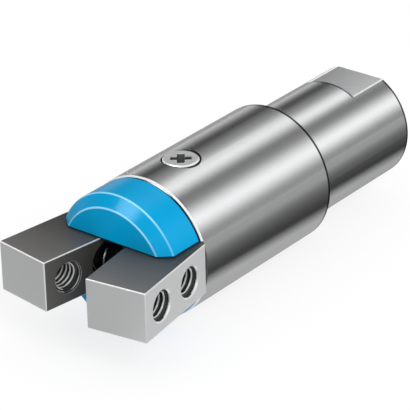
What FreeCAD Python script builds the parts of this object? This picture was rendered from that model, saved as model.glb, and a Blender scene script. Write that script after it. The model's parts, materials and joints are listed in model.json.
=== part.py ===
import FreeCAD, Part
import math
import os

# A single-acting pneumatic angular gripper, in millimetres.
# The gripper's axis is Y: the jaws point to -Y, the clamping spigot to +Y, and +Z is up.
# The origin is on the axis, in the plane of the housing's rear shoulder.
# The part is drawn at rest, with its jaws open. Air from the rear port drives the wedge forward,
# which spreads the jaws' tails and closes the jaws. The springs open them again.

# Housing
housing_diameter = 19.0
housing_length = 26.0
housing_wall = 1.1
front_chamfer = 0.3
rear_chamfer = 0.15
piston_bore_diameter = 12.0

# Rear spigot
spigot_diameter = 16.0
spigot_length = 20.0
spigot_flange_step = 0.35
spigot_flange_depth = 0.6
spigot_chamfer = 0.15
spigot_thread_step = 1.0
spigot_thread_length = 4.0
spigot_face_gap = 0.05
spanner_width = 14.0
spanner_flat_length = 7.0
air_port_diameter = 5.0
air_port_depth = 6.5
air_port_chamfer = 0.4
air_port_cone_half_angle = 59.0
air_channel_diameter = 2.5

# Cover cap
cap_step = 0.1
cap_length = 6.6
cap_bevel_length = 1.4
cap_bevel_height = 1.5
cap_slot_play = 0.1
cap_ring_wall = 0.7
cap_edge_radius = 0.25
cap_seam_width = 0.35
cap_seam_depth = 0.5

# Jaws, measured with the two jaws parallel
jaw_height = 6.8
jaw_width = 8.4
jaw_reach = 15.1
jaw_face_gap = 1.45
jaw_edge_chamfer = 0.12
jaw_shoulder_gap = 0.15
jaw_thread_diameter = 4.0
jaw_thread_chamfer = 0.15
jaw_front_hole_from_tip = 3.7
jaw_hole_spacing = 6.6
jaw_play = 0.05
open_angle = 8.35
toe_in_angle = 0.9

# Jaw tails and their pivots
pivot_depth = 2.2
pivot_pin_diameter = 2.5
pivot_pin_wall = 0.75
pivot_pin_cover = 0.35
tail_side_gap = 0.12
tail_end_wall = 0.6
tail_end_gap = 0.25
tail_relief_start = 0.6
tail_relief_length = 2.9

# Wedge drive
rod_diameter = 4.5
wedge_half_angle = 24.0
wedge_tip_width = 1.0
wedge_contact_width = 1.9
wedge_clearance = 0.03
wedge_tail_gap = 0.25
cam_pin_diameter = 2.0
cam_pin_arm = 6.0
cam_pin_stand_out = 0.6
cam_pin_recess = 0.25

# Jaw carrier and rod bush
carrier_web = 1.0
spring_pocket_depth = 1.0
spring_pocket_gap = 0.4
vent_diameter = 0.8
bush_wall = 0.95
bush_flange_width = 0.55
bush_flange_thickness = 0.8

# Piston
piston_length = 4.6
piston_gap = 0.12
guide_ring_width = 1.2
guide_ring_thickness = 0.65
guide_ring_front_land = 0.6
guide_ring_split = 0.3
seal_width = 1.5
seal_depth = 1.35
seal_rear_land = 0.6
seal_lip_notch = 0.7
ring_side_gap = 0.03
rod_thread_diameter = 3.0
nut_across_flats = 5.5
nut_height = 1.8
nut_recess_depth = 2.0
nut_recess_gap = 0.15
edge_break = 0.15

# Rubber rings
buffer_side_gap = 0.4
buffer_width = 1.8
buffer_thickness = 0.8
buffer_stand_out = 0.35
buffer_gap = 0.05
spigot_neck_length = 1.0
spigot_seal_section = 0.76
spigot_seal_squeeze_gap = 0.02

# Springs
return_spring_wire = 0.6
return_spring_diameter = 8.6
return_spring_turns = 4.0
jaw_spring_wire = 0.5
jaw_spring_diameter = 3.7
jaw_spring_turns = 5.0
jaw_pocket_diameter = 5.3
jaw_pocket_depth = 3.2
jaw_pocket_floor = 0.8
spring_end_gap = 0.03
coil_end_factor = 1.05

# Lock screws
screw_depth = 7.2
screw_head_diameter = 4.7
screw_head_rim = 0.4
screw_thread_diameter = 2.5
screw_foot_wall = 0.6
screw_head_gap = 0.15
screw_head_chamfer = 0.2
recess_span = 2.8
recess_arm_width = 1.0
recess_turn = 39.0
recess_depth = 1.2
recess_taper = 0.55

# Fits
running_clearance = 0.03
seat_clearance = 0.02

# Values worked out from the sizes above
housing_radius = housing_diameter / 2
front_bore_radius = housing_radius - housing_wall
piston_bore_radius = piston_bore_diameter / 2
spigot_radius = spigot_diameter / 2
spigot_bore_radius = piston_bore_radius + spigot_thread_step
spigot_flange_radius = spigot_radius + spigot_flange_step
front_face = -housing_length
rod_radius = rod_diameter / 2
pin_radius = pivot_pin_diameter / 2
cam_radius = cam_pin_diameter / 2
half_height = jaw_height / 2
carrier_slot = half_height + jaw_play
open_rad = math.radians(open_angle)
wedge_rad = math.radians(wedge_half_angle)
swing_rad = math.radians(open_angle + toe_in_angle)

cap_radius = housing_radius - cap_step
cap_front_radius = cap_radius - cap_bevel_height
cap_ring_outer = front_bore_radius - seat_clearance
cap_ring_inner = cap_ring_outer - cap_ring_wall
cap_ring_length = pivot_depth + pin_radius + pivot_pin_cover

# The tails pass inside the cap's ring, which sets how far out the pivots can be.
tail_limit = math.sqrt(cap_ring_inner**2 - half_height**2) - tail_side_gap
tail_outer = tail_limit - pivot_depth * math.tan(open_rad)
pivot_x = tail_outer - pivot_pin_wall - pin_radius - running_clearance
pivot_y = front_face + pivot_depth
jaw_inner = jaw_face_gap / 2
jaw_outer = jaw_inner + jaw_width

# The cam pins bear on the wedge's flats, a small clearance away from them.
cam_offset = cam_radius + wedge_clearance
cam_x = wedge_contact_width / 2 + cam_offset * math.cos(wedge_rad)
cam_y = pivot_y + cam_pin_arm
cam_lever_x = pivot_x - cam_x
contact_y = cam_y + cam_offset * math.sin(wedge_rad)
wedge_tip_y = contact_y - (wedge_contact_width - wedge_tip_width) / 2 / math.tan(wedge_rad)
wedge_root_y = contact_y + (rod_radius - wedge_contact_width / 2) / math.tan(wedge_rad)

# Travel of the wedge that swings the jaws from open to fully closed
tail_spread = cam_lever_x * (1 - math.cos(swing_rad)) + cam_pin_arm * math.sin(swing_rad)
tail_retreat = cam_lever_x * math.sin(swing_rad) - cam_pin_arm * (1 - math.cos(swing_rad))
wedge_travel = tail_spread / math.tan(wedge_rad) - tail_retreat

# The cam pin's place with the jaws parallel, and the end of the tail behind it
cam_parallel_x = pivot_x - cam_lever_x * math.cos(open_rad) + cam_pin_arm * math.sin(open_rad)
cam_parallel_y = pivot_y + cam_lever_x * math.sin(open_rad) + cam_pin_arm * math.cos(open_rad)
tail_inner = cam_parallel_x - cam_radius + cam_pin_stand_out
tail_end = cam_parallel_y + cam_radius + tail_end_wall
tail_sweep = math.hypot(pivot_x - tail_inner, tail_end - pivot_y)

web_front = pivot_y + tail_sweep + tail_end_gap
pocket_floor = web_front + carrier_web
carrier_rear = pocket_floor + spring_pocket_depth
spring_pocket_radius = (return_spring_diameter + return_spring_wire) / 2 + spring_pocket_gap
stub_front = -spigot_thread_length + spigot_face_gap
piston_rear = stub_front - buffer_stand_out - buffer_gap
piston_front = piston_rear - piston_length
buffer_outer_radius = piston_bore_radius - buffer_side_gap
buffer_inner_radius = buffer_outer_radius - buffer_width
bush_rear = piston_front - wedge_travel - buffer_gap
bush_radius = rod_radius + running_clearance + bush_wall
piston_radius = piston_bore_radius - piston_gap
sliding_radius = piston_bore_radius - running_clearance
front_hole_y = front_face - jaw_reach + jaw_front_hole_from_tip
rear_hole_y = front_hole_y + jaw_hole_spacing
screw_y = front_face + screw_depth
screw_foot = carrier_slot + screw_foot_wall + seat_clearance


def vec(x, y, z):
    return FreeCAD.Vector(x, y, z)


def rod_y(radius, start, end):
    """A cylinder on the gripper's axis from y = start to y = end."""
    return Part.makeCylinder(radius, end - start, vec(0, start, 0), vec(0, 1, 0))


def tube_y(outer, inner, start, end):
    return rod_y(outer, start, end).cut(rod_y(inner, start, end))


def box(low, high):
    size = [b - a for a, b in zip(low, high)]
    return Part.makeBox(size[0], size[1], size[2], vec(*low))


def prism_z(points, bottom, top):
    """The outline of (x, y) points, raised from z = bottom to z = top."""
    corners = [vec(x, y, bottom) for x, y in points]
    outline = Part.Face(Part.makePolygon(corners + corners[:1]))
    return outline.extrude(vec(0, 0, top - bottom))


def turned(points):
    """The outline of (radius, y) points, turned about the gripper's axis."""
    corners = [vec(r, y, 0) for r, y in points]
    outline = Part.Face(Part.makePolygon(corners + corners[:1]))
    return outline.revolve(vec(0, 0, 0), vec(0, 1, 0), 360)


def coil_spring(coil_diameter, wire, turns, length):
    """A compression spring of round wire, along +Z from z = 0."""
    radius = coil_diameter / 2
    rise = length - wire * coil_end_factor
    start = (length - rise) / 2
    helix = Part.makeHelix(rise / turns, rise, radius)
    slope = vec(0, 2 * math.pi * radius, rise / turns)
    section = Part.Wire(Part.makeCircle(wire / 2, vec(radius, 0, 0), slope))
    coil = Part.Wire(helix).makePipeShell([section], True, True)
    coil.translate(vec(0, 0, start))
    return coil


def open_pose(shape, side):
    """Swings a piece drawn with the jaws parallel to its open pose; side is 1 right, -1 left."""
    posed = shape.copy()
    posed.rotate(vec(pivot_x, pivot_y, 0), vec(0, 0, 1), open_angle)
    if side < 0:
        posed = posed.mirror(vec(0, 0, 0), vec(1, 0, 0))
    return posed


def turned_z(points, direction):
    """The outline of (radius, z) points, turned about a lock screw's axis on the top or bottom."""
    corners = [vec(r, screw_y, direction * z) for r, z in points]
    outline = Part.Face(Part.makePolygon(corners + corners[:1]))
    return outline.revolve(vec(0, screw_y, 0), vec(0, 0, 1), 360)


def screw_cavity(direction):
    """The countersunk hole for a lock screw; direction is 1 for the top, -1 for the bottom."""
    head = screw_head_diameter / 2 + screw_head_gap
    shank = screw_thread_diameter / 2 + seat_clearance
    rim_bottom = housing_radius - screw_head_rim - seat_clearance
    cone_bottom = rim_bottom - (head - shank)
    foot = screw_foot - seat_clearance
    above = housing_radius + screw_head_rim
    return turned_z([
        (0, foot),
        (shank, foot),
        (shank, cone_bottom),
        (head, rim_bottom),
        (head, above),
        (0, above),
    ], direction)


def chamfer_rim(shape, size, y):
    """Chamfers the round edge that lies at the height y along the axis."""
    rims = [edge for edge in shape.Edges if abs(edge.BoundBox.YMin - y) + edge.BoundBox.YLength < size]
    return shape.makeChamfer(size, rims)


def housing():
    body = rod_y(housing_radius, front_face, 0)
    body = chamfer_rim(body, front_chamfer, front_face)
    body = chamfer_rim(body, rear_chamfer, 0)
    body = body.cut(rod_y(front_bore_radius, front_face, carrier_rear))
    body = body.cut(rod_y(piston_bore_radius, front_face, 0))
    body = body.cut(rod_y(spigot_bore_radius, -spigot_thread_length, 0))
    body = body.cut(rod_y(spigot_flange_radius + seat_clearance, -spigot_flange_depth, 0))
    return body.cut([screw_cavity(1), screw_cavity(-1)])


def rear_spigot():
    thread_radius = spigot_bore_radius - seat_clearance
    neck_radius = thread_radius - spigot_seal_section - seat_clearance
    port_radius = air_port_diameter / 2
    channel_radius = air_channel_diameter / 2
    neck_end = stub_front + spigot_neck_length
    port_end = spigot_length - air_port_depth
    cone_length = (port_radius - channel_radius) / math.tan(math.radians(air_port_cone_half_angle))
    body = turned([
        (channel_radius, stub_front),
        (neck_radius, stub_front),
        (neck_radius, neck_end),
        (thread_radius, neck_end),
        (thread_radius, -spigot_flange_depth),
        (spigot_flange_radius, -spigot_flange_depth),
        (spigot_flange_radius, 0),
        (spigot_radius, 0),
        (spigot_radius, spigot_length - spigot_chamfer),
        (spigot_radius - spigot_chamfer, spigot_length),
        (port_radius + air_port_chamfer, spigot_length),
        (port_radius, spigot_length - air_port_chamfer),
        (port_radius, port_end),
        (channel_radius, port_end - cone_length),
    ])
    half_width = spanner_width / 2
    for low, high in ((half_width, spigot_radius), (-spigot_radius, -half_width)):
        start = (-spigot_radius, spigot_length - spanner_flat_length, low)
        end = (spigot_radius, spigot_length, high)
        body = body.cut(box(start, end))
    recess_floor = stub_front + buffer_thickness - buffer_stand_out
    recess = tube_y(
        buffer_outer_radius + seat_clearance, buffer_inner_radius - seat_clearance,
        stub_front, recess_floor,
    )
    return body.cut(recess)


def buffer_ring():
    start = stub_front - buffer_stand_out
    return tube_y(buffer_outer_radius, buffer_inner_radius, start, start + buffer_thickness)


def spigot_seal():
    section = spigot_seal_section / 2 - spigot_seal_squeeze_gap
    thread_radius = spigot_bore_radius - seat_clearance
    ring_radius = thread_radius - spigot_seal_section / 2
    centre_y = stub_front + spigot_neck_length - section
    return Part.makeTorus(ring_radius, section, vec(0, centre_y, 0), vec(0, 1, 0))


def cover_cap():
    tip = front_face - cap_length
    bevel_start = tip + cap_bevel_length
    lips = turned([
        (0, tip),
        (cap_front_radius, tip),
        (cap_radius, bevel_start),
        (cap_radius, front_face - cap_seam_width),
        (cap_radius - cap_seam_depth, front_face - cap_seam_width),
        (cap_radius - cap_seam_depth, front_face),
        (0, front_face),
    ])
    rims = [edge for edge in lips.Edges if edge.BoundBox.YMax < bevel_start + cap_edge_radius]
    rims = [edge for edge in rims if edge.BoundBox.YLength < cap_edge_radius]
    lips = lips.makeFillet(cap_edge_radius, rims)
    slot = half_height + cap_slot_play
    lips = lips.cut(box((-cap_radius, tip, -slot), (cap_radius, front_face, slot)))
    ring = tube_y(cap_ring_outer, cap_ring_inner, front_face, front_face + cap_ring_length)
    return lips.fuse(ring).removeSplitter()


def jaw_carrier():
    stub_radius = cap_ring_inner - seat_clearance
    main_radius = front_bore_radius - seat_clearance
    main_start = front_face + cap_ring_length
    body = rod_y(stub_radius, front_face, carrier_rear)
    body = body.fuse(rod_y(main_radius, main_start, carrier_rear))
    slot = box((-housing_radius, front_face, -carrier_slot), (housing_radius, web_front, carrier_slot))
    pocket = rod_y(spring_pocket_radius, pocket_floor, carrier_rear)
    bush_hole = rod_y(bush_radius + seat_clearance, web_front, carrier_rear)
    body = body.cut([slot, pocket, bush_hole, screw_cavity(1), screw_cavity(-1)])
    vent_x = (return_spring_diameter / 2 + spring_pocket_radius) / 2
    for side in (1, -1):
        pin_start = vec(side * pivot_x, pivot_y, -main_radius)
        body = body.cut(Part.makeCylinder(pin_radius + seat_clearance, 2 * main_radius, pin_start))
        vent_start = vec(side * vent_x, web_front, 0)
        body = body.cut(Part.makeCylinder(vent_diameter / 2, carrier_web, vent_start, vec(0, 1, 0)))
    return body


def pivot_pin(side):
    stub_radius = cap_ring_inner - seat_clearance
    half_length = math.sqrt(stub_radius**2 - (pivot_x + pin_radius) ** 2) - seat_clearance
    return dowel(pin_radius, vec(side * pivot_x, pivot_y, 0), half_length)


def cam_pin(side):
    centre = vec(cam_parallel_x, cam_parallel_y, 0)
    return open_pose(dowel(cam_radius, centre, half_height - cam_pin_recess), side)


def dowel(radius, centre, half_length):
    """A dowel pin with chamfered ends, along Z."""
    pin = Part.makeCylinder(radius, 2 * half_length, centre - vec(0, 0, half_length))
    rims = [edge for edge in pin.Edges if edge.BoundBox.ZLength < edge_break]
    return pin.makeChamfer(edge_break, rims)


def jaw_outline():
    """The jaw and its tail from above, right side, with the jaws parallel."""
    tip = front_face - jaw_reach
    slope = math.tan(open_rad)
    shoulder_line = pivot_y - (jaw_shoulder_gap + pivot_depth) / math.cos(open_rad) + pivot_x * slope
    relief_start = front_face + tail_relief_start
    relief_end = relief_start + tail_relief_length
    # Behind the cam pin, the tail's end is cut back along the wedge's flat.
    lean = wedge_rad + open_rad
    cut_offset = cam_offset - wedge_tail_gap
    cut_x = cam_parallel_x - cut_offset * math.cos(lean)
    cut_y = cam_parallel_y + cut_offset * math.sin(lean)
    cut_start = cut_y + (tail_inner - cut_x) / math.tan(lean)
    cut_end = cut_x + (tail_end - cut_y) * math.tan(lean)
    return [
        (jaw_inner, tip),
        (jaw_outer, tip),
        (jaw_outer, shoulder_line - jaw_outer * slope),
        (tail_outer, shoulder_line - tail_outer * slope),
        (tail_outer, tail_end),
        (cut_end, tail_end),
        (tail_inner, cut_start),
        (tail_inner, relief_end),
        (jaw_inner, relief_start),
    ]


def lies_on_block(edge):
    """Whether an edge runs along the jaw's inner, outer or end face."""
    tip = front_face - jaw_reach
    bounds = edge.BoundBox
    return (
        bounds.XMax < jaw_inner + edge_break
        or bounds.XMin > jaw_outer - edge_break
        or bounds.YMax < tip + edge_break
    )


def tapped_hole(y, start):
    """A hole from x = start to the outer face, at its thread's full diameter, chamfered there."""
    radius = jaw_thread_diameter / 2
    wide = radius + jaw_thread_chamfer
    mouth = jaw_outer - jaw_thread_chamfer
    along = vec(1, 0, 0)
    hole = Part.makeCylinder(radius, jaw_outer - start, vec(start, y, 0), along)
    return hole.fuse(Part.makeCone(radius, wide, jaw_thread_chamfer, vec(mouth, y, 0), along))


def inner_mouth(y):
    """The chamfer of a tapped hole that comes out at the jaw's inner face."""
    radius = jaw_thread_diameter / 2
    wide = radius + jaw_thread_chamfer
    return Part.makeCone(wide, radius, jaw_thread_chamfer, vec(jaw_inner, y, 0), vec(1, 0, 0))


def jaw(side):
    block = prism_z(jaw_outline(), -half_height, half_height)
    block = block.makeChamfer(jaw_edge_chamfer, [edge for edge in block.Edges if lies_on_block(edge)])
    pocket = Part.makeCylinder(
        jaw_pocket_diameter / 2, jaw_pocket_depth, vec(jaw_inner, rear_hole_y, 0), vec(1, 0, 0)
    )
    pivot_hole = Part.makeCylinder(
        pin_radius + running_clearance, jaw_height, vec(pivot_x, pivot_y, -half_height)
    )
    cam_hole = Part.makeCylinder(
        cam_radius + seat_clearance, jaw_height, vec(cam_parallel_x, cam_parallel_y, -half_height)
    )
    front_hole = tapped_hole(front_hole_y, jaw_inner).fuse(inner_mouth(front_hole_y))
    rear_hole = tapped_hole(rear_hole_y, jaw_inner + jaw_pocket_depth + jaw_pocket_floor)
    block = block.cut([pocket, pivot_hole, cam_hole, front_hole, rear_hole])
    return open_pose(block, side)


def jaw_spring():
    """The opening spring across the two pockets, held by the jaws' open pose."""
    lever_x = pivot_x - jaw_inner - jaw_pocket_depth
    lever_y = pivot_y - rear_hole_y
    floor_x = pivot_x - lever_x * math.cos(open_rad) + lever_y * math.sin(open_rad)
    tilt = (jaw_spring_diameter + jaw_spring_wire) / 2 * math.sin(open_rad)
    half_length = floor_x - tilt - spring_end_gap
    middle_lever_x = pivot_x - jaw_inner - jaw_pocket_depth / 2
    centre_y = pivot_y - middle_lever_x * math.sin(open_rad) - lever_y * math.cos(open_rad)
    spring = coil_spring(jaw_spring_diameter, jaw_spring_wire, jaw_spring_turns, 2 * half_length)
    spring.rotate(vec(0, 0, 0), vec(0, 1, 0), 90)
    spring.translate(vec(-half_length, centre_y, 0))
    return spring


def piston_rod():
    shank_radius = rod_thread_diameter / 2 - seat_clearance
    wedge = prism_z([
        (-wedge_tip_width / 2, wedge_tip_y),
        (wedge_tip_width / 2, wedge_tip_y),
        (rod_radius, wedge_root_y),
        (-rod_radius, wedge_root_y),
    ], -rod_radius, rod_radius)
    head = wedge.common(rod_y(rod_radius, wedge_tip_y, wedge_root_y))
    shaft = rod_y(rod_radius, wedge_root_y, piston_front)
    shank = rod_y(shank_radius, piston_front, piston_rear)
    return head.fuse([shaft, shank]).removeSplitter()


def rod_guide_bush():
    body = rod_y(bush_radius, web_front, bush_rear)
    flange = rod_y(bush_radius + bush_flange_width, pocket_floor, pocket_floor + bush_flange_thickness)
    bore = rod_y(rod_radius + running_clearance, web_front, bush_rear)
    return body.fuse(flange).cut(bore)


def return_spring():
    start = pocket_floor + spring_end_gap
    length = piston_front - spring_end_gap - start
    spring = coil_spring(return_spring_diameter, return_spring_wire, return_spring_turns, length)
    spring.rotate(vec(0, 0, 0), vec(1, 0, 0), -90)
    spring.translate(vec(0, start, 0))
    return spring


def piston():
    body = turned([
        (0, piston_front),
        (piston_radius - edge_break, piston_front),
        (piston_radius, piston_front + edge_break),
        (piston_radius, piston_rear - edge_break),
        (piston_radius - edge_break, piston_rear),
        (0, piston_rear),
    ])
    guide_start = piston_front + guide_ring_front_land
    guide = tube_y(
        piston_bore_radius, sliding_radius - guide_ring_thickness - seat_clearance,
        guide_start, guide_start + guide_ring_width,
    )
    seal_end = piston_rear - seal_rear_land
    seal = tube_y(
        piston_bore_radius, sliding_radius - seal_depth - seat_clearance,
        seal_end - seal_width, seal_end,
    )
    nut_recess = rod_y(nut_corner_radius() + nut_recess_gap, piston_rear - nut_recess_depth, piston_rear)
    shank_hole = rod_y(rod_thread_diameter / 2, piston_front, piston_rear)
    return body.cut([guide, seal, nut_recess, shank_hole])


def nut_corner_radius():
    return nut_across_flats / 2 / math.cos(math.radians(30))


def rod_nut():
    start = piston_rear - nut_recess_depth
    corners = []
    for step in range(7):
        angle = math.radians(60 * step)
        across, up = math.sin(angle), math.cos(angle)
        corners.append(vec(nut_corner_radius() * across, start, nut_corner_radius() * up))
    hexagon = Part.Face(Part.makePolygon(corners)).extrude(vec(0, nut_height, 0))
    return hexagon.cut(rod_y(rod_thread_diameter / 2, start, start + nut_height))


def piston_guide_ring():
    start = piston_front + guide_ring_front_land + ring_side_gap
    end = start + guide_ring_width - 2 * ring_side_gap
    ring = tube_y(sliding_radius, sliding_radius - guide_ring_thickness, start, end)
    half_split = guide_ring_split / 2
    return ring.cut(box((-half_split, start, 0), (half_split, end, piston_bore_radius)))


def piston_seal():
    """A lip seal whose notch faces the rear, where the air comes in."""
    end = piston_rear - seal_rear_land - ring_side_gap
    start = end - seal_width + 2 * ring_side_gap
    inner = sliding_radius - seal_depth
    middle = (inner + sliding_radius) / 2
    heel = sliding_radius - piston_gap
    return turned([
        (inner, start),
        (heel, start),
        (sliding_radius, end - edge_break),
        (sliding_radius, end),
        (middle + edge_break, end),
        (middle, end - seal_lip_notch),
        (middle - edge_break, end),
        (inner, end),
    ])


def cross_outline(span, arm_width, height):
    """The outline of a cross recess at one height, before it is turned."""
    far = span / 2
    near = arm_width / 2
    quarter = [(far, near), (near, near), (near, far)]
    points = []
    for turn in range(4):
        for x, y in quarter:
            for _ in range(turn):
                x, y = -y, x
            points.append(vec(x, y + screw_y, height))
    return Part.makePolygon(points + points[:1])


def lock_screw(direction):
    head = screw_head_diameter / 2
    shank = screw_thread_diameter / 2
    rim_bottom = housing_radius - screw_head_rim
    cone_bottom = rim_bottom - (head - shank)
    blank = turned_z([
        (0, screw_foot),
        (shank - edge_break, screw_foot),
        (shank, screw_foot + edge_break),
        (shank, cone_bottom),
        (head, rim_bottom),
        (head, housing_radius - screw_head_chamfer),
        (head - screw_head_chamfer, housing_radius),
        (0, housing_radius),
    ], 1)
    top = cross_outline(recess_span, recess_arm_width, housing_radius)
    floor = cross_outline(
        recess_span * recess_taper, recess_arm_width * recess_taper, housing_radius - recess_depth
    )
    recess = Part.makeLoft([floor, top], True, True)
    recess.rotate(vec(0, screw_y, 0), vec(0, 0, 1), recess_turn)
    screw = blank.cut(recess)
    if direction < 0:
        screw.rotate(vec(0, screw_y, 0), vec(0, 1, 0), 180)
    return screw


def build():
    pieces = {
        "housing": housing(),
        "rear_spigot": rear_spigot(),
        "spigot_seal": spigot_seal(),
        "buffer_ring": buffer_ring(),
        "cover_cap": cover_cap(),
        "jaw_carrier": jaw_carrier(),
        "rod_guide_bush": rod_guide_bush(),
        "piston_rod": piston_rod(),
        "piston": piston(),
        "piston_seal": piston_seal(),
        "piston_guide_ring": piston_guide_ring(),
        "rod_nut": rod_nut(),
        "return_spring": return_spring(),
        "jaw_spring": jaw_spring(),
        "upper_lock_screw": lock_screw(1),
        "lower_lock_screw": lock_screw(-1),
    }
    for name, side in (("right", 1), ("left", -1)):
        pieces[name + "_jaw"] = jaw(side)
        pieces[name + "_pivot_pin"] = pivot_pin(side)
        pieces[name + "_cam_pin"] = cam_pin(side)
    os.makedirs("parts", exist_ok=True)
    for name, shape in pieces.items():
        shape.exportStep("parts/" + name + ".step")
    travel_ratio = swing_rad / wedge_travel
    print(f"pivots at x {pivot_x:.4f}, y {pivot_y:.4f}")
    print(f"wedge travel {wedge_travel:.4f}, jaw swing per millimetre {travel_ratio:.6f} rad")
    return pieces


build()
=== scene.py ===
import json
import math

import bpy
from mathutils import Matrix, Vector


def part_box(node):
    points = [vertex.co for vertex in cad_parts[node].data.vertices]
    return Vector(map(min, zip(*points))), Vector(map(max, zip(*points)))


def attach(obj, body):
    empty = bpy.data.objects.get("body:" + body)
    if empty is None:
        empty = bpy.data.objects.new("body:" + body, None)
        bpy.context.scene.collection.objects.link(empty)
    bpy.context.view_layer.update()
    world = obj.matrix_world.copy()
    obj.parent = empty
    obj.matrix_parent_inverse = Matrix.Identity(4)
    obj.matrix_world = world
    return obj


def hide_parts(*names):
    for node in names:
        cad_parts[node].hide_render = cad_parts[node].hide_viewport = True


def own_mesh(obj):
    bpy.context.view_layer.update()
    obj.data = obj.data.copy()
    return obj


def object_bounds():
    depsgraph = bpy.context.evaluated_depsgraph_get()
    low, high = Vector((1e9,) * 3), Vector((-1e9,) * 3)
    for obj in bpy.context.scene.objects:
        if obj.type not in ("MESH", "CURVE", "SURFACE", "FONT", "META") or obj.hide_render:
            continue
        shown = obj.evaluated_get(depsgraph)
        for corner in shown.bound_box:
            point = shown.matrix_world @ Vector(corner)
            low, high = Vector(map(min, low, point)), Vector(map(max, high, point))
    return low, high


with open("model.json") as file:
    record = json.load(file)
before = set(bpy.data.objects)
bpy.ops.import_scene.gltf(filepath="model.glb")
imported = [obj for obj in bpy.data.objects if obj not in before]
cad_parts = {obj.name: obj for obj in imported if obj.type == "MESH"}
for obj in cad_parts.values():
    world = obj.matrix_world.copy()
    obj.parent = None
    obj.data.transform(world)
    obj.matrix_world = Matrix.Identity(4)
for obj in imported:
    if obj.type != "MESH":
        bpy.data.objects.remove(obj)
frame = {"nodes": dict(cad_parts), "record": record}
cad_low, cad_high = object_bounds()

# All lengths are in metres, in the part's own frame: the jaws point to -Y and +Z is up.
MM = 0.001
nodes = frame["nodes"]
mounts = {mount["name"]: mount for mount in frame["record"]["mounts"]}

# Camera: it stands in front of the jaws, to their right and above them, with a long lens.
CAMERA_AZIMUTH = math.radians(38.92)
CAMERA_ELEVATION = math.radians(26.955)
CAMERA_ROLL = math.radians(-1.477)
CAMERA_DISTANCE = 0.3343
CAMERA_LENS = 230.8
CAMERA_SENSOR = 36.0
CAMERA_CLIP = 0.01
AIM_POINT = Vector((0.0, -0.0165, 0.0))
AIM_RIGHT = 0.00143
AIM_UP = 0.0017

# Floor: the camera sees it white with a share of the shadow that falls on it, and reflections
# see its plain paint. FLOOR_LIGHT is how bright a white floor is in this light, where 1 is white.
FLOOR_SIZE = 6.0
FLOOR_GAP = 0.02 * MM
FLOOR_ALBEDO = 0.9
FLOOR_SHADOW_SHARE = 0.25
FLOOR_LIGHT = 0.98
WHITE = (1.0, 1.0, 1.0)

# Light: an even sky and one soft key lamp
SKY_LEVEL = 0.8
KEY_SIZE = 0.35
KEY_DISTANCE = 0.8
KEY_POWER = 2.8
KEY_DIRECTION = Vector((0.75, -0.35, 0.66))

# What metal and plastic reflect: strips that run along the part, lighter or darker than the base.
# Each is (angle about the part's axis from +X, half width, level added to the base), in degrees.
# A strip fades to nothing at STRIP_FADE half widths from its middle.
STUDIO_BASE = 0.34
STUDIO_STRIPS = (
    (36.0, 18.0, 0.90),
    (99.0, 15.5, 0.80),
    (183.0, 20.0, 0.31),
    (75.0, 12.0, -0.12),
    (148.0, 18.0, -0.27),
)
STRIP_FADE = 1.6
# Round soft boxes above the jaws: (direction, cosine at the edge, cosine at full level, level)
SOFT_BOXES = (
    (Vector((0.10, -0.65, 0.75)), 0.55, 0.80, 0.15),
    (Vector((-0.26, -0.622, 0.738)), 0.960, 0.988, 18.0),
)

# Grey cards that lie under and beside the part and show only in its reflections, as a studio's
# flags do. Lengths are in millimetres. A card reaches from its near corner (x, y) to its far one,
# and both near edges are soft. Its level changes between two distances from the part's middle
# plane. A slant moves the long near edge towards the part at CARD_TURN behind the rear shoulder,
# and away from it as far in front of the shoulder. The cards lie CARD_STEP above each other.
# Their glow is painted reflection: it stands in for the floor and the shade on it as the metal would
# mirror them.
CARD_STEP = 0.1 * MM
CARD_TURN = 30.0 * MM
CARDS = (
    {
        "name": "under_card", "near": (16.0, -43.0), "far": (-18.0, 600.0), "edge": 3.0, "slant": 0.0,
        "distances": (10.0 / 3, 10.0), "levels": (0.40, 0.52),
    },
    {
        "name": "right_card", "near": (9.3, -90.0), "far": (600.0, 600.0), "edge": 4.7, "slant": 2.7,
        "distances": (14.0, 58.0), "levels": (0.04, 0.42),
    },
    {
        "name": "left_card", "near": (-18.0, -43.0), "far": (-900.0, 600.0), "edge": 8.0, "slant": 0.0,
        "distances": (25.0, 75.0), "levels": (0.47, 0.36),
    },
    {
        "name": "front_card", "near": (7.0, -43.0), "far": (-120.0, -400.0), "edge": 3.0, "slant": 0.0,
        "distances": (10.0, 75.0), "levels": (0.30, 0.30),
    },
)

# Threads. A ridge's height and half widths are shares of the pitch, and its root is sunk in the
# hole's wall.
JAW_THREAD_PITCH = 0.7 * MM
PORT_THREAD_PITCH = 0.8 * MM
RIDGE_HEIGHT = 0.541
RIDGE_ROOT_HALF_WIDTH = 0.43
RIDGE_CREST_HALF_WIDTH = 0.07
RIDGE_SINK = 0.02 * MM
THREAD_STEPS_A_TURN = 40
JAW_HOLE_CHAMFER = 0.15 * MM
PORT_CHAMFER = 0.4 * MM

# Springs. A spring's end turns are closed.
WIRE_SIDES = 16
SPRING_STEPS_A_TURN = 48
CLOSED_TURNS = 0.8
JAW_SPRING_TURNS = 4.0
JAW_SPRING_WIRE = 0.5 * MM
RETURN_SPRING_TURNS = 3.0
RETURN_SPRING_WIRE = 0.6 * MM

# Jaws: half their height, and the two places along them between which painted shade darkens their dull
# faces towards the rear
JAW_HALF_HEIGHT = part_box("right_jaw")[1].z
JAW_SHADE_Y = (-41.0 * MM, -31.0 * MM)

# Housing: its painted shade line at the front, its rough, dull front chamfer with a painted highlight, and
# its painted shade line at the rear. FACE_MARGIN keeps a painted shade line off a flat end face.
FRONT_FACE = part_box("housing")[0].y
FRONT_LINE = 0.1 * MM
FRONT_CHAMFER = 0.3 * MM
REAR_LINE = 0.5 * MM
FACE_MARGIN = 0.02 * MM
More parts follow.
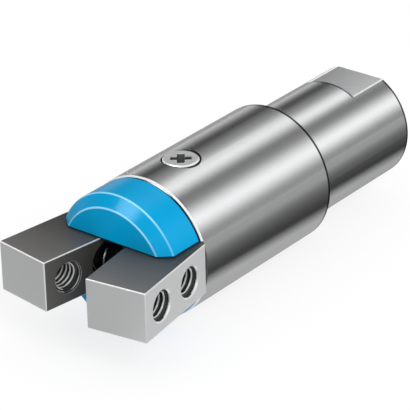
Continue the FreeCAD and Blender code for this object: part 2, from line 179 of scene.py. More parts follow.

# Spigot: its painted shade line at the end and its spanner flats. FLAT_LINE is the width of the painted
# shade line at a flat's step and of the painted highlights along its edges.
SPIGOT_END = cad_high.y
SPIGOT_RADIUS = mounts["clamping_spigot"]["dims"]["r_mm"] * MM
END_LINE = 0.45 * MM
FLAT_LENGTH = 7.0 * MM
FLAT_START = SPIGOT_END - FLAT_LENGTH
FLAT_HEIGHT = mounts["upper_spanner_flat"]["pos_m"][2]
FLAT_SLACK = 0.1 * MM
FLAT_HALF_WIDTH = math.sqrt(SPIGOT_RADIUS ** 2 - FLAT_HEIGHT ** 2)
FLAT_LINE = 0.25 * MM

# Jaw holes and spring pockets. The painted shade starts HOLE_MOUTH below a hole's mouth, and it
# reaches from the thread's root to just past the wall.
HOLE_MOUTH = 0.12 * MM
THREAD_ROOT = 0.27 * MM
PAST_WALL = 1.01
HOLE_CHAMFER_WIDTH = 1.1 * JAW_HOLE_CHAMFER
HOLE_CHAMFER_DEPTH = 0.9 * JAW_HOLE_CHAMFER
POCKET_RADIUS = 2.7 * MM
POCKET_WEB = 0.8 * MM
POCKET_DEPTH = 3.2 * MM

# Lock screws: a painted highlight on the head's rim, painted shade down its side and in its recess, and
# painted shade in the gap round it
SCREW_Y = -18.8 * MM
SCREW_RIM_RADIUS = 2.17 * MM
SCREW_SIDE_RADIUS = 2.32 * MM
SCREW_SIDE_START = 8.9 * MM
SCREW_SIDE_END = 9.3 * MM
SCREW_GAP_RADIUS = 2.6 * MM
RECESS_TOP = 9.38 * MM
RECESS_RADIUS = 1.65 * MM

# Cap: its bevel, the half width of the painted highlights on its rounded edges, the distances from the
# middle plane between which they fade from the first share to the second, and its painted shade along the
# jaws' slot
CAP_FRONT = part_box("cover_cap")[0].y
CAP_RADIUS = 9.4 * MM
CAP_BEVEL_LENGTH = 1.4 * MM
CAP_BEVEL_HEIGHT = 1.5 * MM
CAP_EDGE = 0.11 * MM
CAP_HIGHLIGHT_FADE = (5.0 * MM, 8.0 * MM)
CAP_HIGHLIGHT_SHARES = (0.9, 0.35)
CAP_SLOT_LINE = JAW_HALF_HEIGHT + 0.25 * MM

# Grain of the materials: the waves of a noise in a metre, along each axis where there are three
TURNED_RINGS = (0.0, 9000.0, 0.0)
TURNED_CLOUDS = 260.0
MILLED_STROKES = (260.0, 6000.0, 0.0)
GROUND_STROKES = (9000.0, 900.0, 9000.0)
GROUND_CLOUDS = 220.0
METAL_GRAIN = 3500.0
METAL_CLOUDS = METAL_GRAIN / 12
MOULDED_SKIN = 6000.0
MOULDED_CLOUDS = 180.0
BUMP_HEIGHT = 0.01 * MM

# The part of a noise's range over which its effect goes from nothing to full
GRAIN_RANGE = (0.3, 0.7)
CLOUD_RANGE = (0.35, 0.7)
METAL_CLOUD_RANGE = (0.4, 0.7)
MOULDED_CLOUD_RANGE = (0.35, 0.65)

# Tones, as factors of a material's own colour, and how far some of them cover the tone below
# Painted shade for the lines in seams, at edges, round the screws and along the cap's slot
SHADE_LINE_TONE = 0.09
# Painted shade inside the jaws' holes and spring pockets
HOLE_SHADE_TONE = 0.06
# Painted shade in the screws' recesses and down their heads' sides, and a painted highlight on their rims
RECESS_SHADE_TONE = 0.11
SCREW_RIM_HIGHLIGHT_TONE = 1.5
# A painted highlight on the housing's front chamfer
CHAMFER_HIGHLIGHT_TONE = 1.12
TURNED_TONES = (0.965, 1.035)
TURNED_CLOUD_TONE = 0.93
TURNED_CLOUD_COVER = 0.35
# Painted light across the spigot's flats, lighter towards +X
FLAT_LIGHT_TONES = (0.68, 1.18)
MILLED_STROKE_TONE = 0.7
MILLED_STROKE_COVER = 0.2
# A painted highlight along the flats' long edges
FLAT_RIM_HIGHLIGHT_TONE = 1.25
GROUND_TONES = (0.975, 1.025)
GROUND_CLOUD_TONE = 0.95
# Painted shade on the jaws' end faces
END_SHADE_TONE = 0.58
END_SHADE_COVER = 0.6
# A painted highlight on the jaws' tip edges
TIP_EDGE_HIGHLIGHT_TONE = 1.2
# Painted shade on the jaws' dull faces, from the front to the rear
DULL_FACE_SHADE_TONES = (1.35, 0.28)
UNGROUND_CLOUD_TONE = 0.75
# Painted shade on the jaws' inner faces
INNER_SHADE_TONE = 0.2
INNER_SHADE_COVER = 0.55
JAW_CLOUD_COVER = 0.3
METAL_TONES = (0.93, 1.05)
METAL_CLOUD_TONE = 0.85
METAL_CLOUD_COVER = 0.4
MOULDED_TONES = (0.97, 1.03)

# What is added to a material's roughness: from low to high in its grain, or in one place
TURNED_GRAIN = (-0.02, 0.03)
GROUND_GRAIN = (-0.02, 0.02)
PLAIN_GRAIN = (-0.04, 0.06)
MOULDED_GRAIN = (-0.03, 0.03)
FLAT_ROUGHER = 0.36
CHAMFER_ROUGHER = 0.4
TIP_EDGE_ROUGHER = 0.4
UNGROUND_ROUGHER = 0.1

# How metallic the jaws' ground and dull faces are, and the zinc plating
GROUND_METALLIC = 0.3
DULL_METALLIC = 0.1
PLATED_METALLIC = 0.3

# Parts of a normal: a face is square to an axis from SQUARE_ON, and slanted between SLANTED and
# that. A spanner flat is level from LEVEL_FLAT.
SQUARE_ON = 0.95
SLANTED = 0.3
LEVEL_FLAT = 0.9999


def link(obj):
    bpy.context.scene.collection.objects.link(obj)
    return obj


def mesh_object(name, points, faces, smooth=True):
    mesh = bpy.data.meshes.new(name)
    mesh.from_pydata(points, [], faces)
    mesh.polygons.foreach_set("use_smooth", [smooth] * len(faces))
    mesh.update()
    return link(bpy.data.objects.new(name, mesh))


# Node trees

def fill(tree, node, inputs):
    """Each of inputs is a plain value or another node's output."""
    for key, value in inputs.items():
        if isinstance(value, bpy.types.NodeSocket):
            tree.links.new(value, node.inputs[key])
        else:
            node.inputs[key].default_value = value


def add(tree, kind, inputs=None, **settings):
    node = tree.nodes.new(kind)
    for name, value in settings.items():
        setattr(node, name, value)
    fill(tree, node, inputs or {})
    return node


def maths(tree, operation, first, second=0.0, third=0.0):
    node = add(tree, "ShaderNodeMath", {0: first, 1: second, 2: third}, operation=operation)
    return node.outputs[0]


def absolute(tree, value):
    return maths(tree, "ABSOLUTE", value)


def distance(tree, first, second):
    """The distance that two lengths at right angles to each other make."""
    squares = [maths(tree, "POWER", length, 2.0) for length in (first, second)]
    return maths(tree, "SQRT", maths(tree, "ADD", *squares))


def vector_maths(tree, operation, first, second=(0.0, 0.0, 0.0)):
    return add(tree, "ShaderNodeVectorMath", {0: first, 1: second}, operation=operation).outputs


def coordinates(tree):
    return add(tree, "ShaderNodeTexCoord").outputs


def parts_of(tree, vector):
    return add(tree, "ShaderNodeSeparateXYZ", {"Vector": vector}).outputs


def spot_on(tree):
    """X, Y and Z of a point on the piece."""
    return parts_of(tree, coordinates(tree)["Object"])


def facing_on(tree):
    """X, Y and Z of the surface's normal at that point."""
    return parts_of(tree, coordinates(tree)["Normal"])


def noise(tree, vector, scale, detail=2.0):
    node = add(tree, "ShaderNodeTexNoise", {"Vector": vector, "Scale": scale, "Detail": detail})
    return node.outputs["Fac"]


def stretched_noise(tree, vector, waves, detail):
    """A noise that has its own number of waves in a metre along each axis."""
    node = add(tree, "ShaderNodeMapping", {"Vector": vector, "Scale": waves})
    return noise(tree, node.outputs["Vector"], 1.0, detail)


def span(tree, value, low, high, to_low, to_high):
    """Maps value from low..high to to_low..to_high, and holds it at the ends."""
    node = add(tree, "ShaderNodeMapRange", {
        "Value": value, "From Min": low, "From Max": high, "To Min": to_low, "To Max": to_high,
    })
    return node.outputs["Result"]


def bump(tree, height, strength):
    node = add(tree, "ShaderNodeBump", {"Height": height, "Strength": strength, "Distance": BUMP_HEIGHT})
    return node.outputs["Normal"]


# Masks: 1 in one place and 0 elsewhere

def above(tree, value, limit):
    return maths(tree, "GREATER_THAN", value, limit)


def below(tree, value, limit):
    return maths(tree, "LESS_THAN", value, limit)


def between(tree, value, low, high):
    return maths(tree, "COMPARE", value, (low + high) / 2, (high - low) / 2)


def both(tree, first, second):
    return maths(tree, "MULTIPLY", first, second)


def either(tree, first, second):
    return maths(tree, "MAXIMUM", first, second)


def outside(tree, mask):
    return maths(tree, "SUBTRACT", 1.0, mask)


def partly(tree, mask, share):
    """The mask at a share of its strength."""
    return maths(tree, "MULTIPLY", mask, share)


def raised(tree, value, mask, added):
    """The value, with a number added to it where the mask is 1."""
    return maths(tree, "MULTIPLY_ADD", mask, added, value)


# Colours

def shade(colour, factor):
    return tuple(channel * factor for channel in colour[:3]) + (1.0,)


def mixed(tree, factor, first, second):
    node = add(tree, "ShaderNodeMix", data_type="RGBA")
    fill(tree, node, {0: factor, 6: first, 7: second})
    return node.outputs[2]


def toned(tree, tone, mask, colour, factor):
    """The tone, covered by a shade of the colour where the mask is 1."""
    return mixed(tree, mask, tone, shade(colour, factor))


def shades(tree, value, colour, low, high):
    """Shades of the colour, from low where the value is 0 to high where it is 1."""
    return mixed(tree, value, shade(colour, low), shade(colour, high))


def grained(tree, grain, roughness, added_low, added_high):
    """The roughness, with a number added to it that goes from low to high with the grain."""
    return span(tree, grain, *GRAIN_RANGE, roughness + added_low, roughness + added_high)


# Materials

def new_material(name, roughness, metallic):
    """An empty material: its tree, its surface and a point's place on the piece."""
    material = bpy.data.materials.new(name)
    material.use_nodes = True
    tree = material.node_tree
    surface = tree.nodes["Principled BSDF"]
    surface.inputs["Metallic"].default_value = metallic
    surface.inputs["Roughness"].default_value = roughness
    return material, tree, surface, coordinates(tree)["Object"]


def connect(tree, surface, **sockets):
    for name, value in sockets.items():
        tree.links.new(value, surface.inputs[name.replace("_", " ")])


def linked(surface, socket):
    """The output that is linked to one of the surface's sockets."""
    return surface.inputs[socket].links[0].from_socket


def open_again(material):
    """A finished material's tree, its surface and the surface's tone."""
    tree = material.node_tree
    surface = tree.nodes["Principled BSDF"]
    return tree, surface, linked(surface, "Base Color")


def turned_steel(name, colour, roughness, shade_rings):
    """Steel turned on a lathe: fine rings about the part's axis, faint cloudy wear, and painted shade
    lines at the given places along the axis.
    """
    material, tree, surface, place = new_material(name, roughness, metallic=1.0)
    along = parts_of(tree, place)["Y"]
    rings = stretched_noise(tree, place, TURNED_RINGS, detail=3.0)
    clouds = noise(tree, place, TURNED_CLOUDS)
    wear = span(tree, clouds, *CLOUD_RANGE, 0.0, TURNED_CLOUD_COVER)
    tone = shades(tree, rings, colour, *TURNED_TONES)
    tone = toned(tree, tone, wear, colour, TURNED_CLOUD_TONE)
    # Painted shade lines at the given places along the axis
    for low, high in shade_rings:
        tone = toned(tree, tone, between(tree, along, low, high), colour, SHADE_LINE_TONE)
    connect(
        tree, surface,
        Base_Color=tone,
        Roughness=grained(tree, rings, roughness, *TURNED_GRAIN),
        Normal=bump(tree, rings, strength=0.25),
    )
    return material


def spigot_steel(name, colour, roughness, shade_rings):
    """Turned steel with two rougher spanner flats cut by milling, painted lighter towards +X, with painted
    highlights on their long edges.
    """
    material = turned_steel(name, colour, roughness, shade_rings)
    tree, surface, tone = open_again(material)
    place = coordinates(tree)["Object"]
    spot = parts_of(tree, place)
    height = absolute(tree, spot["Z"])
    level = above(tree, absolute(tree, facing_on(tree)["Z"]), LEVEL_FLAT)
    flat = both(tree, level, below(tree, height, FLAT_HEIGHT + FLAT_SLACK))
    across = span(tree, spot["X"], -FLAT_HALF_WIDTH, FLAT_HALF_WIDTH, 0.0, 1.0)
    strokes = stretched_noise(tree, place, MILLED_STROKES, detail=2.0)
    wear_and_highlight = span(tree, strokes, *GRAIN_RANGE, 0.0, MILLED_STROKE_COVER)
    # Painted light across the flat, lighter towards +X, with the mill's strokes over it
    flat_milling_and_light = shades(tree, across, colour, *FLAT_LIGHT_TONES)
    flat_milling_and_light = toned(tree, flat_milling_and_light, wear_and_highlight, colour, MILLED_STROKE_TONE)
    # A painted shade line at the flat's step and painted highlights along its long edges
    before_flat = between(tree, spot["Y"], FLAT_START - FLAT_LINE, FLAT_START)
    step = both(tree, above(tree, height, FLAT_HEIGHT), before_flat)
    rim_highlight = both(tree, flat, above(tree, absolute(tree, spot["X"]), FLAT_HALF_WIDTH - FLAT_LINE))
    tone = toned(tree, mixed(tree, flat, tone, flat_milling_and_light), step, colour, SHADE_LINE_TONE)
    connect(
        tree, surface,
        Base_Color=toned(tree, tone, rim_highlight, colour, FLAT_RIM_HIGHLIGHT_TONE),
        Roughness=raised(tree, linked(surface, "Roughness"), flat, FLAT_ROUGHER),
        Metallic=outside(tree, rim_highlight),
    )
    return material


def screw_reach(tree, spot):
    """How far a point is from the lock screws' common axis."""
    return distance(tree, spot["X"], maths(tree, "SUBTRACT", spot["Y"], SCREW_Y))


def housing_steel(name, colour, roughness, shade_rings):
    """Turned steel with painted shade round the lock screws and behind the jaws, and a rough, dull front
    chamfer with a painted highlight.
    """
    material = turned_steel(name, colour, roughness, shade_rings)
    tree, surface, tone = open_again(material)
    spot = spot_on(tree)
    # Painted shade round the lock screws and behind the jaws, and a painted highlight on the front chamfer
    gap_shade = below(tree, screw_reach(tree, spot), SCREW_GAP_RADIUS)
    chamfer = between(tree, spot["Y"], FRONT_FACE + FRONT_LINE, FRONT_FACE + FRONT_CHAMFER)
    shade_behind_jaw = both(tree, chamfer, below(tree, absolute(tree, spot["Z"]), JAW_HALF_HEIGHT))
    tone = toned(tree, tone, chamfer, colour, CHAMFER_HIGHLIGHT_TONE)
    connect(
        tree, surface,
        Base_Color=toned(tree, tone, either(tree, gap_shade, shade_behind_jaw), colour, SHADE_LINE_TONE),
        Roughness=raised(tree, linked(surface, "Roughness"), chamfer, CHAMFER_ROUGHER),
        Metallic=outside(tree, chamfer),
    )
    return material


def hole_shade_zones(mount_name):
    """The zones of painted shade in a jaw's hole: their least and most reach from its axis, then their
    depths.
    """
    dims = mounts[mount_name]["dims"]
    radius = dims["r_mm"] * MM
    length = dims["length_mm"] * MM
    wall = (radius - THREAD_ROOT, radius * PAST_WALL)
    if "front" in mount_name:
        chamfer = (radius, radius + HOLE_CHAMFER_WIDTH)
        return (
            (*wall, HOLE_MOUTH, length - HOLE_MOUTH),
            (*chamfer, length - HOLE_MOUTH, length + HOLE_CHAMFER_DEPTH),
        )
    pocket = length + POCKET_WEB
    return (
        (*wall, HOLE_MOUTH, length + HOLE_MOUTH),
        (0.0, radius, length - HOLE_MOUTH, length + HOLE_MOUTH),
        (0.0, POCKET_RADIUS, pocket - HOLE_MOUTH, pocket + POCKET_DEPTH - HOLE_MOUTH),
    )


def hole_reach(tree, place, mount_name):
    """How far a point is from a hole's axis, and how deep it is below the hole's mouth."""
    axis = tuple(mounts[mount_name]["axis"])
    offset = vector_maths(tree, "SUBTRACT", place, tuple(mounts[mount_name]["pos_m"]))["Vector"]
    square = vector_maths(tree, "CROSS_PRODUCT", offset, axis)["Vector"]
    away = vector_maths(tree, "LENGTH", square)["Value"]
    along = vector_maths(tree, "DOT_PRODUCT", offset, axis)["Value"]
    return away, maths(tree, "MULTIPLY", along, -1.0)


def hole_shade_mask(tree, place):
    """1 where shade is painted: on the walls and thread roots of the jaws' holes and in their spring
    pockets.
    """
    mask = 0.0
    for mount_name in ("right_front_thread", "left_front_thread", "right_rear_thread", "left_rear_thread"):
        away, depth = hole_reach(tree, place, mount_name)
        for nearest, furthest, start, end in hole_shade_zones(mount_name):
            zone = both(tree, between(tree, away, nearest, furthest), between(tree, depth, start, end))
            mask = either(tree, mask, zone)
    return mask


def ground_steel(name, colour, dull_shaded_colour, roughness):
    """Jaw steel: the outer and end faces are ground bright; the others are duller, and darker partly for
    that and partly as painted shade.
    """
    material, tree, surface, place = new_material(name, roughness, metallic=1.0)
    spot = parts_of(tree, place)
    facing = facing_on(tree)
    upright = absolute(tree, facing["Z"])
    endwise = absolute(tree, facing["Y"])
    outward = maths(tree, "MULTIPLY", facing["X"], maths(tree, "SIGN", spot["X"]))
    inner = below(tree, outward, -SQUARE_ON)
    dull_shaded_faces = either(tree, above(tree, upright, SQUARE_ON), inner)
    tip_edge = both(tree, between(tree, upright, SLANTED, SQUARE_ON), above(tree, endwise, SLANTED))
    strokes = stretched_noise(tree, place, GROUND_STROKES, detail=3.0)
    wear = span(tree, noise(tree, place, GROUND_CLOUDS), *CLOUD_RANGE, 0.0, JAW_CLOUD_COVER)

    bright = shades(tree, strokes, colour, *GROUND_TONES)
    bright = toned(tree, bright, wear, colour, GROUND_CLOUD_TONE)
    # Painted shade on the end faces
    end_shade = partly(tree, above(tree, endwise, SQUARE_ON), END_SHADE_COVER)
    bright = toned(tree, bright, end_shade, colour, END_SHADE_TONE)
    # Painted shade on the dull faces, darker towards the rear, and more on the inner faces
    plain = shades(tree, span(tree, spot["Y"], *JAW_SHADE_Y, 0.0, 1.0), dull_shaded_colour, *DULL_FACE_SHADE_TONES)
    plain = toned(tree, plain, partly(tree, inner, INNER_SHADE_COVER), dull_shaded_colour, INNER_SHADE_TONE)
    plain = toned(tree, plain, wear, dull_shaded_colour, UNGROUND_CLOUD_TONE)

    # A painted highlight on the tip edges
    tone = toned(tree, mixed(tree, dull_shaded_faces, bright, plain), tip_edge, colour, TIP_EDGE_HIGHLIGHT_TONE)
    rough = grained(tree, strokes, roughness, *GROUND_GRAIN)
    rough = raised(tree, rough, dull_shaded_faces, UNGROUND_ROUGHER)
    dull = either(tree, dull_shaded_faces, tip_edge)
    connect(
        tree, surface,
        # Painted shade inside the holes and spring pockets
        Base_Color=toned(tree, tone, hole_shade_mask(tree, place), colour, HOLE_SHADE_TONE),
        Roughness=raised(tree, rough, tip_edge, TIP_EDGE_ROUGHER),
        Metallic=span(tree, dull, 0.0, 1.0, GROUND_METALLIC, DULL_METALLIC),
        Normal=bump(tree, strokes, strength=0.05),
    )
    return material


def plain_metal(name, colour, roughness):
    """A metal with an even fine grain, for small and inner pieces."""
    material, tree, surface, place = new_material(name, roughness, metallic=1.0)
    grain = noise(tree, place, METAL_GRAIN, detail=4.0)
    clouds = noise(tree, place, METAL_CLOUDS)
    wear = span(tree, clouds, *METAL_CLOUD_RANGE, 0.0, METAL_CLOUD_COVER)
    tone = shades(tree, grain, colour, *METAL_TONES)
    connect(
        tree, surface,
        Base_Color=toned(tree, tone, wear, colour, METAL_CLOUD_TONE),
        Roughness=grained(tree, grain, roughness, *PLAIN_GRAIN),
        Normal=bump(tree, grain, strength=0.2),
    )
    return material


def plated_steel(name, colour, roughness):
    """Dull zinc plating, with painted shade in the cross-shaped hollow and down the head's side, and a
    painted highlight round its edge.
    """
    material = plain_metal(name, colour, roughness)
    tree, surface, tone = open_again(material)
    surface.inputs["Metallic"].default_value = PLATED_METALLIC
    spot = spot_on(tree)
    height = absolute(tree, spot["Z"])
    away = screw_reach(tree, spot)
    # Painted shade in the cross recess and down the head's side, and a painted highlight on its rim
    recess_shade = both(tree, below(tree, away, RECESS_RADIUS), below(tree, height, RECESS_TOP))
    down_side = between(tree, height, SCREW_SIDE_START, SCREW_SIDE_END)
    side = both(tree, above(tree, away, SCREW_SIDE_RADIUS), down_side)
    rim_highlight = both(tree, above(tree, away, SCREW_RIM_RADIUS), above(tree, height, SCREW_SIDE_END))
    tone = toned(tree, tone, rim_highlight, colour, SCREW_RIM_HIGHLIGHT_TONE)
    tone = toned(tree, tone, either(tree, recess_shade, side), colour, RECESS_SHADE_TONE)
    connect(tree, surface, Base_Color=tone)
    return material


def moulded(name, colour, roughness, specular=0.5):
    """Plastic or rubber from a mould: a very fine skin and a faint change of tone."""
    material, tree, surface, place = new_material(name, roughness, metallic=0.0)
    surface.inputs["Specular IOR Level"].default_value = specular
    skin = noise(tree, place, MOULDED_SKIN, detail=3.0)
    clouds = span(tree, noise(tree, place, MOULDED_CLOUDS), *MOULDED_CLOUD_RANGE, 0.0, 1.0)
    connect(
        tree, surface,
        Base_Color=shades(tree, clouds, colour, *MOULDED_TONES),
        Roughness=grained(tree, skin, roughness, *MOULDED_GRAIN),
        Normal=bump(tree, skin, strength=0.12),
    )
    return material


def cap_plastic(name, colour, highlight_colour, roughness, specular):
    """Moulded plastic with painted shade along the jaws' slot and painted highlights on its two rounded
    edges.
    """
    material = moulded(name, colour, roughness, specular)
    tree, surface, tone = open_again(material)
    spot = spot_on(tree)
    reach = distance(tree, spot["X"], spot["Z"])
    bevel_start = CAP_FRONT + CAP_BEVEL_LENGTH
    bevel_radius = CAP_RADIUS - CAP_BEVEL_HEIGHT
    outer = both(
        tree, between(tree, spot["Y"], bevel_start - CAP_EDGE, bevel_start + CAP_EDGE),
        above(tree, reach, CAP_RADIUS - 2 * CAP_EDGE),
    )
    inner = both(
        tree, between(tree, reach, bevel_radius - CAP_EDGE, bevel_radius + CAP_EDGE),
        below(tree, spot["Y"], CAP_FRONT + CAP_EDGE),
    )
    # Painted highlights on the two rounded edges, fading towards the sides
    wear_and_highlight = span(tree, absolute(tree, spot["X"]), *CAP_HIGHLIGHT_FADE, *CAP_HIGHLIGHT_SHARES)
    tone = toned(tree, tone, partly(tree, either(tree, outer, inner), wear_and_highlight), highlight_colour, 1.0)
    # Painted shade along the jaws' slot
    slot = below(tree, absolute(tree, spot["Z"]), CAP_SLOT_LINE)
    connect(tree, surface, Base_Color=toned(tree, tone, slot, colour, SHADE_LINE_TONE))
    return material


STEEL = (0.74, 0.745, 0.75)
JAW_STEEL = (0.66, 0.665, 0.67)
# The jaws' dull faces: darker partly for their finish and partly as painted shade
DULL_SHADED_STEEL = (0.119, 0.115, 0.109)
BLUE = (0.0, 0.322, 0.62)
# The colour of the painted highlights on the cap's rounded edges
CAP_HIGHLIGHT_BLUE = (0.32, 0.70, 0.93)
# Places along the axis for painted shade lines
HOUSING_SHADE_RINGS = ((FRONT_FACE - FRONT_LINE, FRONT_FACE + FRONT_LINE), (-REAR_LINE, -FACE_MARGIN))
SPIGOT_SHADE_RINGS = ((SPIGOT_END - END_LINE, SPIGOT_END - FACE_MARGIN),)

# Each slot has the function that makes its material, and what the function takes after the name:
# first the colours, then the roughness.
LOOKS = {
    "housing_steel": (housing_steel, STEEL, 0.17, HOUSING_SHADE_RINGS),
    "spigot_steel": (spigot_steel, STEEL, 0.17, SPIGOT_SHADE_RINGS),
    "cap_plastic": (cap_plastic, BLUE, CAP_HIGHLIGHT_BLUE, 0.2, 0.13),
    "jaw_steel": (ground_steel, JAW_STEEL, DULL_SHADED_STEEL, 0.32),
    "carrier_steel": (plain_metal, (0.42, 0.43, 0.45), 0.35),
    "pin_steel": (plain_metal, (0.62, 0.63, 0.65), 0.14),
    "bush_bronze": (plain_metal, (0.62, 0.40, 0.18), 0.38),
    "piston_alloy": (plain_metal, (0.68, 0.70, 0.73), 0.3),
    "seal_rubber": (moulded, (0.012, 0.012, 0.013), 0.55),
    "guide_plastic": (moulded, (0.72, 0.70, 0.64), 0.4),
    "spring_steel": (plain_metal, (0.10, 0.105, 0.11), 0.3),
    "screw_steel": (plated_steel, (0.52, 0.525, 0.525), 0.45),
}
materials = {slot: make(slot, *values) for slot, (make, *values) in LOOKS.items()}


def dress_cad_nodes():
    for subpart in frame["record"]["subparts"]:
        obj = nodes[subpart["node"]]
        obj.data.materials.clear()
        obj.data.materials.append(materials[subpart["material_slot"]])


def place_piece(obj, body, slot):
    obj.data.materials.append(materials[slot])
    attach(obj, body)


# Threads

def hole_frame(mouth, axis):
    """Turns a thread drawn along +Z from z = 0 so that it runs into the hole from its mouth."""
    return Matrix.Translation(mouth) @ (-Vector(axis)).to_track_quat("Z", "Y").to_matrix().to_4x4()


def tube_faces(steps, corners):
    """Faces of a closed tube: its first end, its sides step by step, and its last end."""
    faces = [tuple(range(corners))]
    for step in range(steps):
        near, far = step * corners, (step + 1) * corners
        for corner in range(corners):
            following = (corner + 1) % corners
            faces.append((near + following, near + corner, far + corner, far + following))
    faces.append(tuple(reversed(range(steps * corners, (steps + 1) * corners))))
    return faces


def thread(name, mouth, axis, radius, depth, pitch, near_chamfer, far_chamfer):
    """One helical ridge inside a hole. At each end it is cut back along the hole's chamfer."""
    crest = radius - RIDGE_HEIGHT * pitch
    root = radius + RIDGE_SINK
    margin = RIDGE_ROOT_HALF_WIDTH * pitch
    profile = (
        (root, -margin),
        (crest, -RIDGE_CREST_HALF_WIDTH * pitch),
        (crest, RIDGE_CREST_HALF_WIDTH * pitch),
        (root, margin),
    )
    start, end = near_chamfer + margin, depth - far_chamfer - margin
    steps = round((end - start) / pitch * THREAD_STEPS_A_TURN)
    points = []
    for step in range(steps + 1):
        turn = 2 * math.pi * step / THREAD_STEPS_A_TURN
        centre = start + pitch * step / THREAD_STEPS_A_TURN
        for reach, offset in profile:
            z = centre + offset
            cone = max(near_chamfer - z, z - depth + far_chamfer) if far_chamfer else near_chamfer - z
            reach = min(max(reach, radius + cone), root)
            points.append((reach * math.cos(turn), reach * math.sin(turn), z))
    obj = mesh_object(name, points, tube_faces(steps, len(profile)), smooth=False)
    obj.data.transform(hole_frame(mouth, axis))
    return obj


def mount_thread(mount_name, body, slot, pitch, near_chamfer, far_chamfer):
    mount = mounts[mount_name]
    axis = Vector(mount["axis"])
    mouth = Vector(mount["pos_m"]) + axis * near_chamfer
    radius = mount["dims"]["r_mm"] * MM
    depth = mount["dims"]["length_mm"] * MM + near_chamfer + far_chamfer
    piece = thread(mount_name + "_turns", mouth, axis, radius, depth, pitch, near_chamfer, far_chamfer)
    place_piece(piece, body, slot)


def cut_threads():
    for side in ("right", "left"):
        body = side + "_finger"
        chamfer = JAW_HOLE_CHAMFER
        mount_thread(side + "_front_thread", body, "jaw_steel", JAW_THREAD_PITCH, chamfer, chamfer)
        mount_thread(side + "_rear_thread", body, "jaw_steel", JAW_THREAD_PITCH, chamfer, 0.0)
    mount_thread("air_port", "body", "spigot_steel", PORT_THREAD_PITCH, PORT_CHAMFER, 0.0)


# Springs

def coil_rise(turn, turns, length, wire):
    """How far the wire has climbed: the end turns lie against each other, the rest are open."""
    end_rise = wire * CLOSED_TURNS
    open_rise = length - 2 * end_rise
    if turn < CLOSED_TURNS:
        return wire * turn
    if turn > CLOSED_TURNS + turns:
        return length - wire * (turns + 2 * CLOSED_TURNS - turn)
    return end_rise + open_rise * (turn - CLOSED_TURNS) / turns


def coil(name, node, axis, turns, wire):
    """A round wire coil with closed end turns, in the box of the spring's own node."""
    low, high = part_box(node)
    middle = (low + high) / 2
    along = Vector([1.0 if place == axis else 0.0 for place in range(3)])
    across = Vector((0.0, 0.0, 1.0))
    beside = along.cross(across)
    length = (high - low)[axis] - wire
    radius = (high - low)[2] / 2 - wire / 2
    total = turns + 2 * CLOSED_TURNS
    steps = round(total * SPRING_STEPS_A_TURN)
    points = []
    for step in range(steps + 1):
        turn = total * step / steps
        angle = 2 * math.pi * turn
        rise = coil_rise(turn, turns, length, wire)
        outward = across * math.cos(angle) + beside * math.sin(angle)
        centre = middle + outward * radius + along * (rise - length / 2)
        for side in range(WIRE_SIDES):
            around = 2 * math.pi * side / WIRE_SIDES
            points.append(centre + (outward * math.cos(around) + along * math.sin(around)) * wire / 2)
    faces = [tuple(reversed(face)) for face in tube_faces(steps, WIRE_SIDES)]
    obj = mesh_object(name, points, faces)
    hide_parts(node)
    place_piece(obj, "body", "spring_steel")
    return obj


def make_springs():
    jaw_spring = coil("opening_spring", "jaw_spring", 0, JAW_SPRING_TURNS, JAW_SPRING_WIRE)
    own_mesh(jaw_spring)
    return_spring = coil(
        "piston_return_spring", "return_spring", 1, RETURN_SPRING_TURNS, RETURN_SPRING_WIRE,
    )
    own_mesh(return_spring)


# Studio

def flat_sheet(name, near, far, height):
    corners = ((near[0], near[1]), (far[0], near[1]), (far[0], far[1]), (near[0], far[1]))
    points = [(x, y, height) for x, y in corners]
    return mesh_object(name, points, [(0, 1, 2, 3)], smooth=False)


def stage_material(name):
    """An empty material that lights nothing by itself: its tree and its output."""
    material = bpy.data.materials.new(name)
    material.use_nodes = True
    material.cycles.emission_sampling = "NONE"
    tree = material.node_tree
    tree.nodes.remove(tree.nodes["Principled BSDF"])
    return material, tree, tree.nodes["Material Output"]


def white_rays(tree, rays):
    """1 for the rays that see white: those from the camera and those through a clear surface."""
    return either(tree, rays["Is Camera Ray"], rays["Is Transmission Ray"])


def make_card(name, near, far, edge, slant, distances, levels, height):
    near = [length * MM for length in near]
    far = [length * MM for length in far]
    distances = [length * MM for length in distances]
    slant = slant * MM
    card = flat_sheet(name, (near[0] - slant, near[1]), far, height)
    material, tree, output = stage_material(name)
    spot = spot_on(tree)
    turned = span(tree, spot["Y"], -CARD_TURN, CARD_TURN, -slant, slant)
    across = maths(tree, "ADD", spot["X"], turned)
    shares = []
    for value, start, end in ((across, near[0], far[0]), (spot["Y"], near[1], far[1])):
        inner = start + math.copysign(edge * MM, end - start)
        shares.append(span(tree, value, start, inner, 0.0, 1.0))
    level = span(tree, absolute(tree, across), *distances, *levels)
    clear = add(tree, "ShaderNodeBsdfTransparent")
    glow = add(tree, "ShaderNodeEmission", {"Strength": level})
    mix = add(tree, "ShaderNodeMixShader", {
        0: both(tree, *shares), 1: clear.outputs[0], 2: glow.outputs[0],
    })
    tree.links.new(mix.outputs[0], output.inputs["Surface"])
    card.data.materials.append(material)
    for ray in ("camera", "diffuse", "transmission", "shadow"):
        setattr(card, "visible_" + ray, False)


def make_cards():
    for place, card in enumerate(CARDS):
        make_card(**card, height=cad_low.z + CARD_STEP * (place + 1))


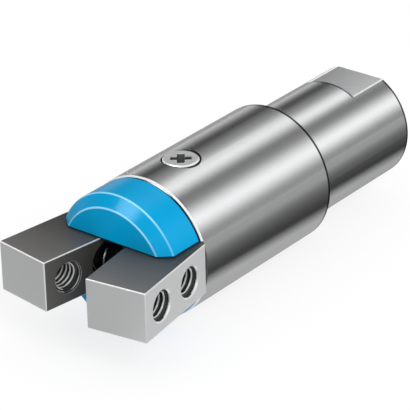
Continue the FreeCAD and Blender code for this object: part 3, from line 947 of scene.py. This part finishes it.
def make_floor():
    half = FLOOR_SIZE / 2
    floor = flat_sheet("floor", (-half, -half), (half, half), cad_low.z - FLOOR_GAP)
    material, tree, output = stage_material("floor_paint")
    shadow_albedo = FLOOR_ALBEDO * FLOOR_SHADOW_SHARE
    paint = add(tree, "ShaderNodeBsdfDiffuse", {"Color": shade(WHITE, FLOOR_ALBEDO)})
    thin = add(tree, "ShaderNodeBsdfDiffuse", {"Color": shade(WHITE, shadow_albedo)})
    glow = add(tree, "ShaderNodeEmission", {"Strength": 1.0 - shadow_albedo * FLOOR_LIGHT})
    white = add(tree, "ShaderNodeAddShader", {0: thin.outputs[0], 1: glow.outputs[0]})
    seen = white_rays(tree, add(tree, "ShaderNodeLightPath").outputs)
    mix = add(tree, "ShaderNodeMixShader", {0: seen, 1: paint.outputs[0], 2: white.outputs[0]})
    tree.links.new(mix.outputs[0], output.inputs["Surface"])
    floor.data.materials.append(material)


def soft_strip(tree, value, half_width, level):
    """The level where value is zero, falling softly to nothing on either side of it."""
    strip = add(tree, "ShaderNodeMapRange", {
        "Value": absolute(tree, value), "From Min": 0.0, "From Max": STRIP_FADE * half_width,
        "To Min": level, "To Max": 0.0,
    }, interpolation_type="SMOOTHSTEP")
    return strip.outputs["Result"]


def strip_level(tree, direction):
    """Soft strips along the part, each strongest at its own angle about the part's axis."""
    parts = parts_of(tree, direction)
    angle = maths(tree, "ARCTAN2", parts["Z"], parts["X"])
    level = STUDIO_BASE
    for middle, half_width, added in STUDIO_STRIPS:
        turned = maths(tree, "SUBTRACT", angle, math.radians(middle))
        away = maths(tree, "WRAP", turned, math.pi, -math.pi)
        level = maths(tree, "ADD", soft_strip(tree, away, math.radians(half_width), added), level)
    return level


def box_level(tree, direction):
    """Round soft boxes, each by how near the direction is to its middle."""
    level = 0.0
    for middle, edge, full, added in SOFT_BOXES:
        nearness = vector_maths(tree, "DOT_PRODUCT", direction, middle.normalized())["Value"]
        level = maths(tree, "ADD", span(tree, nearness, edge, full, 0.0, added), level)
    return level


def make_world():
    """White for the camera, even and soft on the surfaces, with strips and boxes in reflections."""
    world = bpy.data.worlds.new("studio")
    bpy.context.scene.world = world
    world.use_nodes = True
    world.cycles.sampling_method = "NONE"
    tree = world.node_tree
    background = tree.nodes["Background"]
    background.inputs["Color"].default_value = shade(WHITE, 1.0)
    direction = coordinates(tree)["Generated"]
    rays = add(tree, "ShaderNodeLightPath").outputs
    # A ray that a matt surface has scattered doesn't see the boxes, which would make sparkles there.
    unscattered = below(tree, rays["Diffuse Depth"], 0.5)
    boxes = both(tree, box_level(tree, direction), unscattered)
    level = maths(tree, "ADD", strip_level(tree, direction), boxes)
    soft = add(tree, "ShaderNodeMix", {0: white_rays(tree, rays), 2: SKY_LEVEL, 3: 1.0})
    shown = add(tree, "ShaderNodeMix", {0: rays["Is Glossy Ray"], 2: soft.outputs[0], 3: level})
    tree.links.new(shown.outputs[0], background.inputs["Strength"])


def make_key_light():
    light = bpy.data.lights.new("key", "AREA")
    light.size = KEY_SIZE
    light.energy = KEY_POWER
    key = link(bpy.data.objects.new("key", light))
    toward = KEY_DIRECTION.normalized()
    key.location = AIM_POINT + toward * KEY_DISTANCE
    key.rotation_euler = toward.to_track_quat("Z", "Y").to_euler()
    key.visible_glossy = False


def make_camera():
    data = bpy.data.cameras.new("camera")
    data.sensor_width = CAMERA_SENSOR
    data.lens = CAMERA_LENS
    data.clip_start = CAMERA_CLIP
    camera = link(bpy.data.objects.new("camera", data))
    level = math.cos(CAMERA_ELEVATION)
    back = Vector((
        math.sin(CAMERA_AZIMUTH) * level,
        -math.cos(CAMERA_AZIMUTH) * level,
        math.sin(CAMERA_ELEVATION),
    ))
    right = Vector((math.cos(CAMERA_AZIMUTH), math.sin(CAMERA_AZIMUTH), 0.0))
    up = back.cross(right)
    aim = AIM_POINT + right * AIM_RIGHT + up * AIM_UP
    rolled_right = right * math.cos(CAMERA_ROLL) + up * math.sin(CAMERA_ROLL)
    rolled_up = up * math.cos(CAMERA_ROLL) - right * math.sin(CAMERA_ROLL)
    turn = Matrix((rolled_right, rolled_up, back)).transposed()
    camera.matrix_world = Matrix.Translation(aim + back * CAMERA_DISTANCE) @ turn.to_4x4()
    bpy.context.scene.camera = camera


bpy.context.scene.view_settings.view_transform = "Standard"
dress_cad_nodes()
cut_threads()
make_springs()
make_floor()
make_cards()
make_world()
make_key_light()
make_camera()
